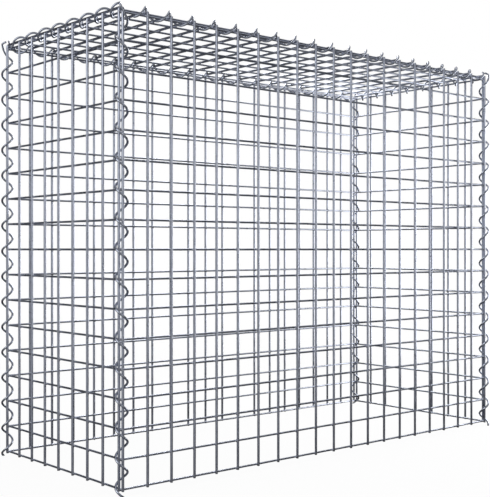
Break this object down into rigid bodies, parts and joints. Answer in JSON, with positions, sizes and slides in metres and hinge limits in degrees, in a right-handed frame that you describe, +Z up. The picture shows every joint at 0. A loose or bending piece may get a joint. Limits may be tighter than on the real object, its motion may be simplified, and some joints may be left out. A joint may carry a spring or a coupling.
{
  "type": "gabion basket",
  "caption": "Open-bottomed rectangular gabion basket of galvanised welded mesh panels and a mesh lid, laced along its edges by spiral wires, to be filled with stone as a wall unit.",
  "frame": {"origin": "centre of the basket's base, on the ground under its four corner spirals", "axes": "+X along the length, +Y from front to back, +Z up"},
  "size_m": [1.026, 0.4332, 0.8238],
  "materials": {
    "panel_wire": "galvanised, satin grey with a faint spangle",
    "spiral_wire": "galvanised, smooth and a little brighter than the panels"
  },
  "bodies": {
    "root": {"front_panel": "panel_wire", "back_panel": "panel_wire", "left_panel": "panel_wire", "right_panel": "panel_wire", "lid_panel": "panel_wire", "spiral_front_left": "spiral_wire", "spiral_front_right": "spiral_wire", "spiral_back_right": "spiral_wire", "spiral_back_left": "spiral_wire", "spiral_lid_front": "spiral_wire", "spiral_lid_back": "spiral_wire", "spiral_lid_left": "spiral_wire", "spiral_lid_right": "spiral_wire"}
  },
  "joints": []
}
